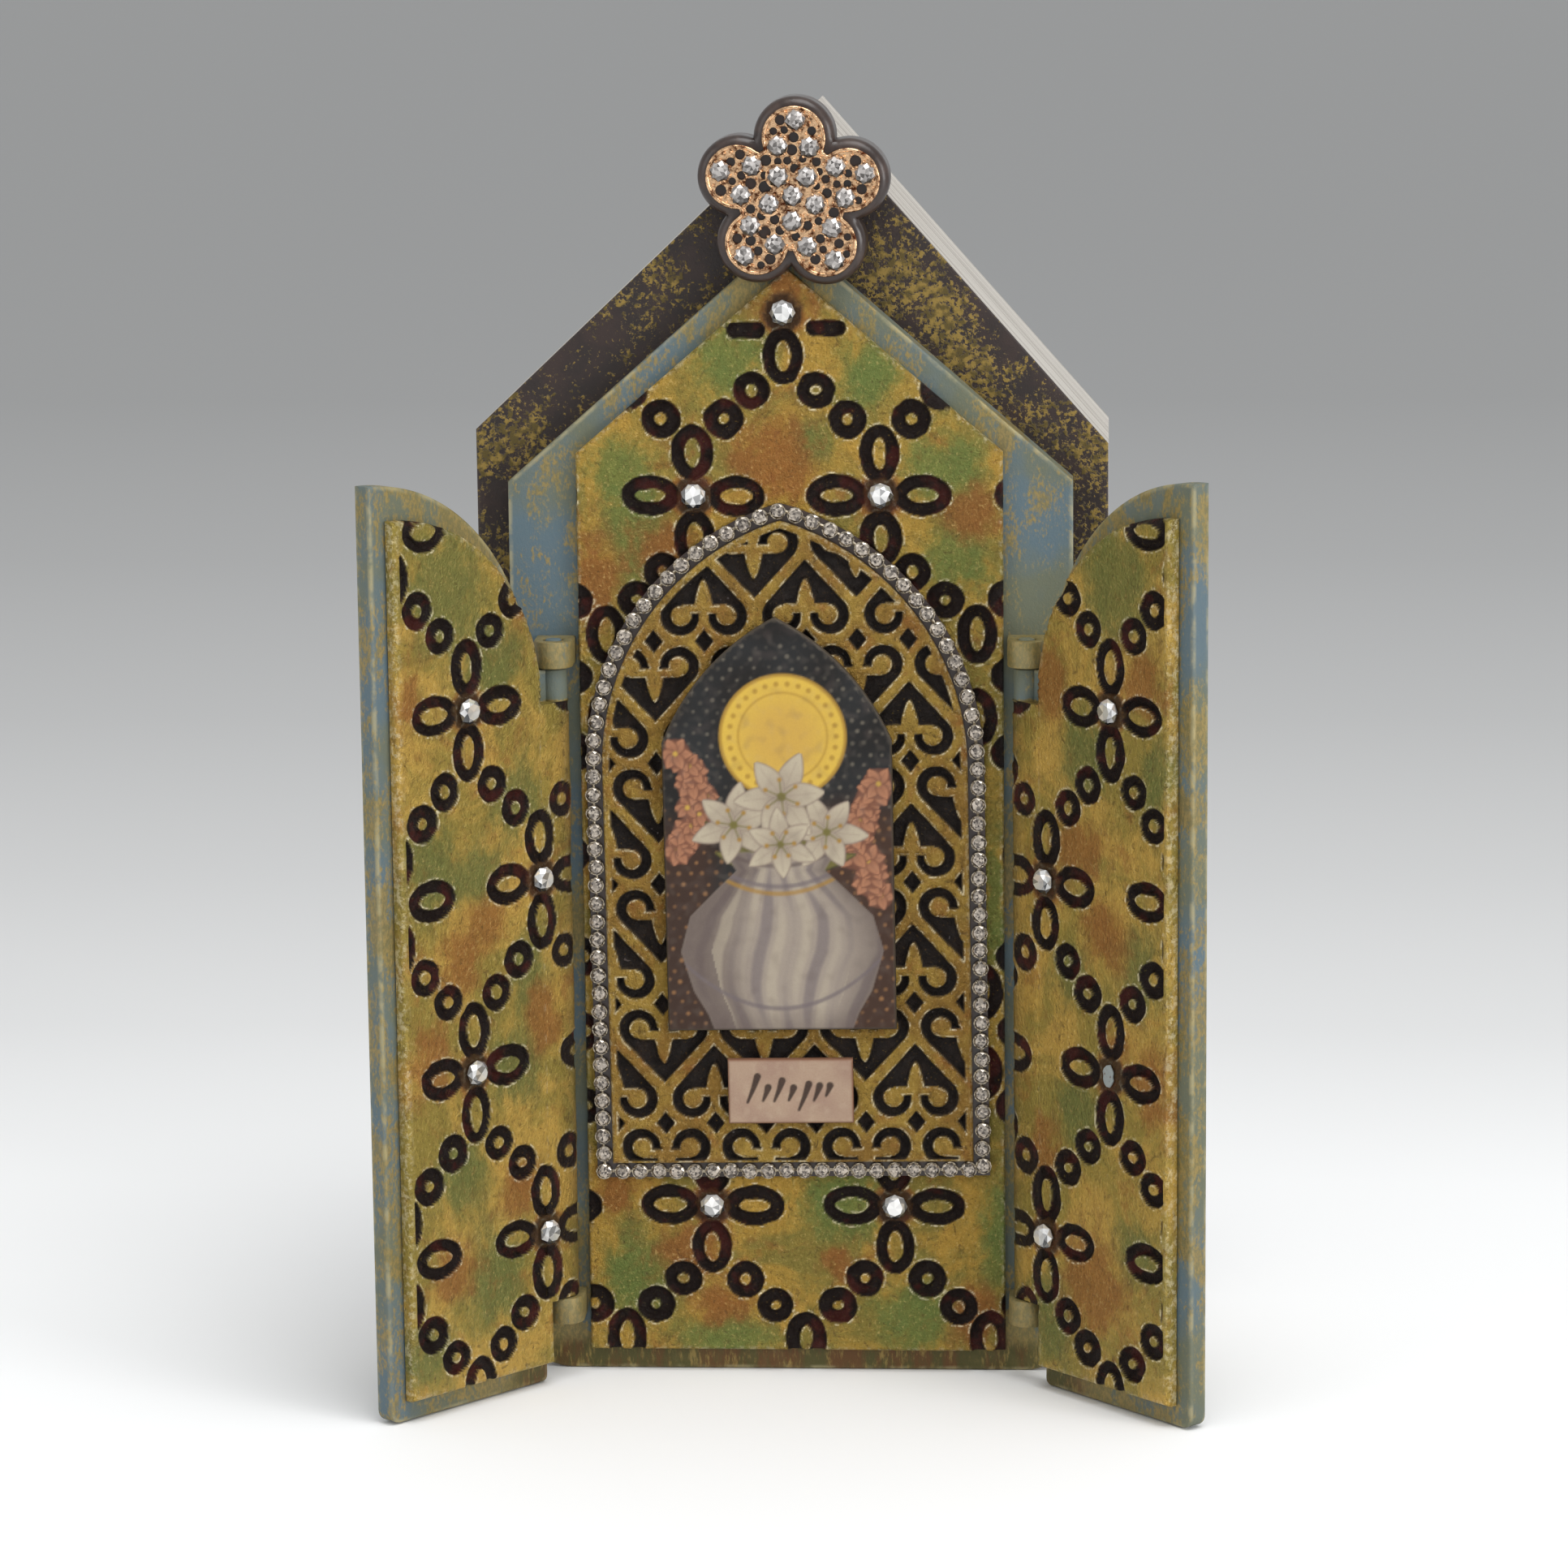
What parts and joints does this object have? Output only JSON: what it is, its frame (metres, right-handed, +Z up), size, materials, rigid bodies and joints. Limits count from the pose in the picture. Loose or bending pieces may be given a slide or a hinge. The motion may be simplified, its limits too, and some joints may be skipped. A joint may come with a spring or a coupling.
{
  "type": "triptych altarpiece",
  "caption": "Small gabled tabletop triptych shrine with gilded relief panels, an arched scrollwork plaque, a flower brooch and two arched wings on pin hinges.",
  "frame": {"origin": "middle of the back block's underside, on the surface that the altarpiece stands on", "axes": "+Z up; the front faces -Y; +X is to the viewer's right when facing the front"},
  "size_m": [0.2028, 0.116, 0.3204],
  "materials": {
    "block_brown": "dark brown paint with clustered gold speckle, satin",
    "board_blue": "dusty blue chalk paint, sponged with ochre and gold",
    "gilt": "gilded pressed relief, rubbed with green and orange-brown, dark in the grooves",
    "lattice_gilt": "bright gilded ribs over dark brown recesses",
    "chain_stones": "small clear faceted stones in silver cups",
    "crystal": "clear faceted crystal with a silvered back",
    "picture": "varnished painted picture in slate, cream, gold and coral",
    "pink_paper": "matt pinkish beige card with dark brush strokes",
    "dark_resin": "dark brown glossy resin",
    "rose_gold": "rose-gold plated pierced metal set with clear stones",
    "glue": "dull grey-brown dried glue"
  },
  "bodies": {
    "root": {"back_block": "block_brown", "centre_board": "board_blue", "centre_panel": "gilt", "arch_plaque": "lattice_gilt", "stone_chain": "chain_stones", "picture_tile": "picture", "word_tile": "pink_paper", "brooch_base": "dark_resin", "brooch_face": "rose_gold", "crystal_centre_top": "crystal", "crystal_centre_upper_left": "crystal", "crystal_centre_upper_right": "crystal", "crystal_centre_lower_left": "crystal", "crystal_centre_lower_right": "crystal", "hinge_eye_left_bottom": "board_blue", "hinge_eye_left_top": "board_blue", "hinge_eye_right_bottom": "board_blue", "hinge_eye_right_top": "board_blue"},
    "left_wing": {"left_wing_board": "board_blue", "left_wing_panel": "gilt", "crystal_left_1": "crystal", "crystal_left_2": "crystal", "crystal_left_3": "crystal", "crystal_left_4": "crystal"},
    "right_wing": {"right_wing_board": "board_blue", "right_wing_panel": "gilt", "crystal_right_1": "crystal", "crystal_right_2": "crystal", "crystal_right_4": "crystal", "glue_patch": "glue"}
  },
  "joints": [
    {"name": "left_wing_hinge", "type": "hinge", "parent": "root", "child": "left_wing", "pos_m": [-0.0582, -0.044, 0.1], "axis": [0, 0, -1], "range_deg": [-100, 57]},
    {"name": "right_wing_hinge", "type": "hinge", "parent": "root", "child": "right_wing", "pos_m": [0.0582, -0.044, 0.1], "axis": [0, 0, 1], "range_deg": [-102, 55]}
  ]
}
